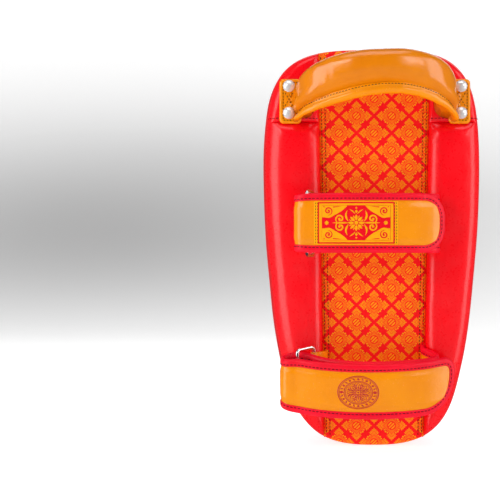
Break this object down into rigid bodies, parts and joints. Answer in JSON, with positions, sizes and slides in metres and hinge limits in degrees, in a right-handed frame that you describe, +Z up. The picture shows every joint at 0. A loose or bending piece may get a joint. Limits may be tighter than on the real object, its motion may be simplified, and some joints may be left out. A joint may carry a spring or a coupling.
{
  "type": "thai pad",
  "caption": "Curved rectangular kick and punch pad with a smooth strike face, a padded forearm channel, a riveted roll handle and ring-and-fold arm straps.",
  "frame": {"origin": "centre of the bounding box's underside, below the pad's rounded lower end", "axes": "+Z up along the pad, +Y out of the strike face, -Y towards the holder's arm, +X to the right as seen from the strap side"},
  "size_m": [0.2054, 0.158, 0.3813],
  "materials": {
    "strike_leather": "gloss",
    "side_leather": "gloss",
    "back_leather": "gloss",
    "pattern_fabric": "matte",
    "gold_leather": "gloss",
    "binding_leather": "satin",
    "strike_foam": "matte",
    "core_foam": "matte",
    "soft_foam": "matte",
    "webbing": "matte",
    "stiffener": "matte",
    "rivet_chrome": "polished",
    "burr_steel": "satin",
    "ring_steel": "polished",
    "loop_fabric": "matte",
    "hook_fabric": "matte",
    "label_weave": "matte",
    "thread": "matte",
    "gold_print": "satin",
    "red_print": "satin"
  },
  "bodies": {
    "pad": {"strike_cover": "strike_leather", "side_gusset": "side_leather", "left_bolster_cover": "back_leather", "right_bolster_cover": "back_leather", "left_top_panel": "back_leather", "right_top_panel": "back_leather", "forearm_panel": "pattern_fabric", "strike_foam": "strike_foam", "core_foam": "core_foam", "backing_foam": "soft_foam", "left_bolster_foam": "soft_foam", "right_bolster_foam": "soft_foam", "left_top_foam": "soft_foam", "right_top_foam": "soft_foam", "upper_anchor_webbing": "webbing", "lower_anchor_webbing": "webbing", "rivet_backing_strips": "stiffener", "handle_end_tabs": "gold_leather", "handle_rivets": "rivet_chrome", "rivet_burrs": "burr_steel", "handle_cover": "gold_leather", "handle_foam": "soft_foam", "handle_load_strap": "webbing", "handle_rolled_edge": "gold_leather", "upper_strap_band": "gold_leather", "upper_band_binding": "binding_leather", "upper_loop_patch": "loop_fabric", "upper_anchor_tab": "gold_leather", "lower_strap_band": "gold_leather", "lower_band_binding": "binding_leather", "lower_loop_patch": "loop_fabric", "lower_anchor_tab": "gold_leather"},
    "upper_ring": {"upper_ring": "ring_steel"},
    "lower_ring": {"lower_ring": "ring_steel"},
    "upper_flap": {"upper_flap": "gold_leather", "upper_flap_binding": "binding_leather", "upper_hook_patch": "hook_fabric", "upper_label": "label_weave"},
    "lower_flap": {"lower_flap": "gold_leather", "lower_flap_binding": "binding_leather", "lower_hook_patch": "hook_fabric"}
  },
  "joints": [
    {"name": "upper_flap_fold", "type": "hinge", "parent": "pad", "child": "upper_flap", "pos_m": [-0.062, -0.0553, 0.213], "axis": [0, 0, -1], "range_deg": [0, 150]},
    {"name": "lower_flap_fold", "type": "hinge", "parent": "pad", "child": "lower_flap", "pos_m": [-0.075, -0.0509, 0.0625], "axis": [0, 0, -1], "range_deg": [0, 150]},
    {"name": "upper_ring_swivel", "type": "hinge", "parent": "pad", "child": "upper_ring", "pos_m": [-0.0595, -0.0268, 0.213], "axis": [0, 0, 1], "range_deg": [-4, 4]},
    {"name": "lower_ring_swivel", "type": "hinge", "parent": "pad", "child": "lower_ring", "pos_m": [-0.0565, -0.0275, 0.0678], "axis": [-0.0821, -0.0647, 0.9945], "range_deg": [-4, 4]}
  ]
}
